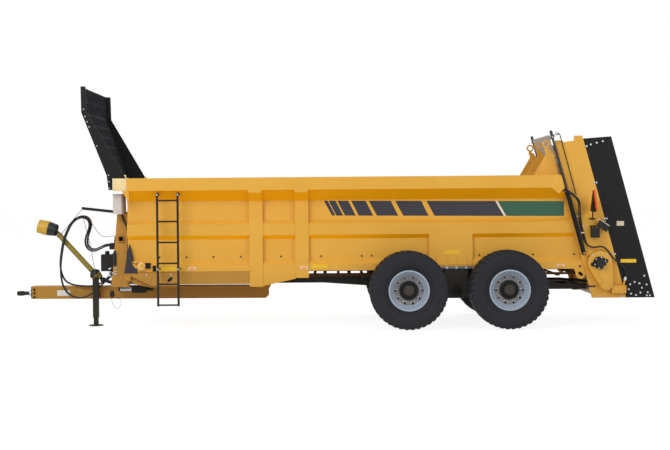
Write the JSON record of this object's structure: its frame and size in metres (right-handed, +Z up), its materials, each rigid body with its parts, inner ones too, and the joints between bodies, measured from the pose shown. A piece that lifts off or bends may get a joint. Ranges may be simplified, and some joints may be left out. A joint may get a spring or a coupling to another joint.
{
  "type": "manure spreader",
  "caption": "Towed twin-axle manure spreader with a leaning rear beater housing, raised slurry door, floor conveyor, headboard grille, parking jack and parked drive shaft.",
  "frame": {"origin": "on the ground, under the middle of the bounding box", "axes": "+X to the rear, -Y to the machine left side, +Z up"},
  "size_m": [11.497, 3.1, 4.26],
  "materials": {
    "yellow_paint": "gloss yellow paint",
    "black_paint": "satin black paint",
    "tyre_rubber": "matt tyre rubber",
    "wheel_paint": "silver wheel paint",
    "bare_steel": "worn bare steel",
    "chrome_rod": "hard chrome",
    "chain_rust": "rusty chain steel",
    "grey_paint": "pale grey paint",
    "hose_rubber": "hose rubber",
    "guard_plastic": "olive yellow plastic",
    "amber_lens": "amber lens",
    "sign_face": "reflective sign"
  },
  "bodies": {
    "machine": {"beater_gearboxes": "black_paint", "beater_side_panels": "black_paint", "beater_top_beam": "black_paint", "bogie_hangers": "black_paint", "chain_tensioners": "bare_steel", "chassis": "black_paint", "control_cabinet": "grey_paint", "corner_guards": "black_paint", "cross_bearers": "black_paint", "door_ram_barrels": "black_paint", "drawbar": "yellow_paint", "driveline": "black_paint", "floor_conveyor": "chain_rust", "floor_gearcase": "yellow_paint", "floor_motor": "black_paint", "floor_shafts": "bare_steel", "front_subframe": "yellow_paint", "headboard_grille": "black_paint", "headboard_plates": "black_paint", "hitch_eye": "black_paint", "hopper_floor": "yellow_paint", "hopper_front": "yellow_paint", "hopper_side_left": "yellow_paint", "hopper_side_right": "yellow_paint", "hose_arm": "black_paint", "hose_high": "hose_rubber", "hose_low": "hose_rubber", "hose_rack": "black_paint", "inline_valve": "black_paint", "jack_tube": "black_paint", "ladder": "black_paint", "lifting_gussets": "yellow_paint", "pto_chain": "bare_steel", "pto_guards": "guard_plastic", "pto_shaft": "black_paint", "rear_frame": "yellow_paint", "rear_lamps": "black_paint", "side_markers": "amber_lens", "slow_vehicle_sign": "sign_face", "walking_beams": "black_paint"},
    "door": {"slurry_door": "grey_paint", "door_ram_rods": "chrome_rod", "door_indicator": "black_paint"},
    "beater_left": {"beater_left": "yellow_paint"},
    "beater_right": {"beater_right": "yellow_paint"},
    "jack_foot": {"jack_leg": "black_paint"},
    "wheel_front_left": {"tyre_front_left": "tyre_rubber", "wheel_front_left": "wheel_paint"},
    "wheel_front_right": {"tyre_front_right": "tyre_rubber", "wheel_front_right": "wheel_paint"},
    "wheel_rear_left": {"tyre_rear_left": "tyre_rubber", "wheel_rear_left": "wheel_paint"},
    "wheel_rear_right": {"tyre_rear_right": "tyre_rubber", "wheel_rear_right": "wheel_paint"}
  },
  "joints": [
    {"name": "wheel_front_left_turn", "type": "hinge", "parent": "machine", "child": "wheel_front_left", "pos_m": [1.385, -1.24, 0.682], "axis": [0, 1, 0], "continuous": true},
    {"name": "wheel_front_right_turn", "type": "hinge", "parent": "machine", "child": "wheel_front_right", "pos_m": [1.385, 1.24, 0.682], "axis": [0, 1, 0], "continuous": true},
    {"name": "wheel_rear_left_turn", "type": "hinge", "parent": "machine", "child": "wheel_rear_left", "pos_m": [3.115, -1.24, 0.682], "axis": [0, 1, 0], "continuous": true},
    {"name": "wheel_rear_right_turn", "type": "hinge", "parent": "machine", "child": "wheel_rear_right", "pos_m": [3.115, 1.24, 0.682], "axis": [0, 1, 0], "continuous": true},
    {"name": "beater_left_turn", "type": "hinge", "parent": "machine", "child": "beater_left", "pos_m": [5.23086, -0.43, 0.86], "axis": [-0.2588, 0, 0.9659], "continuous": true},
    {"name": "beater_right_turn", "type": "hinge", "parent": "machine", "child": "beater_right", "pos_m": [5.23086, 0.43, 0.86], "axis": [-0.2588, 0, 0.9659], "continuous": true},
    {"name": "door_slide", "type": "slide", "parent": "machine", "child": "door", "axis": [-0.2588, 0, 0.9659], "range_m": [-0.86, 0]},
    {"name": "jack_slide", "type": "slide", "parent": "machine", "child": "jack_foot", "axis": [0, 0, 1], "range_m": [-0.3, 0.12]}
  ],
  "couplings": [
    {"joint": "beater_right_turn", "follows": "beater_left_turn", "ratio": -1}
  ]
}
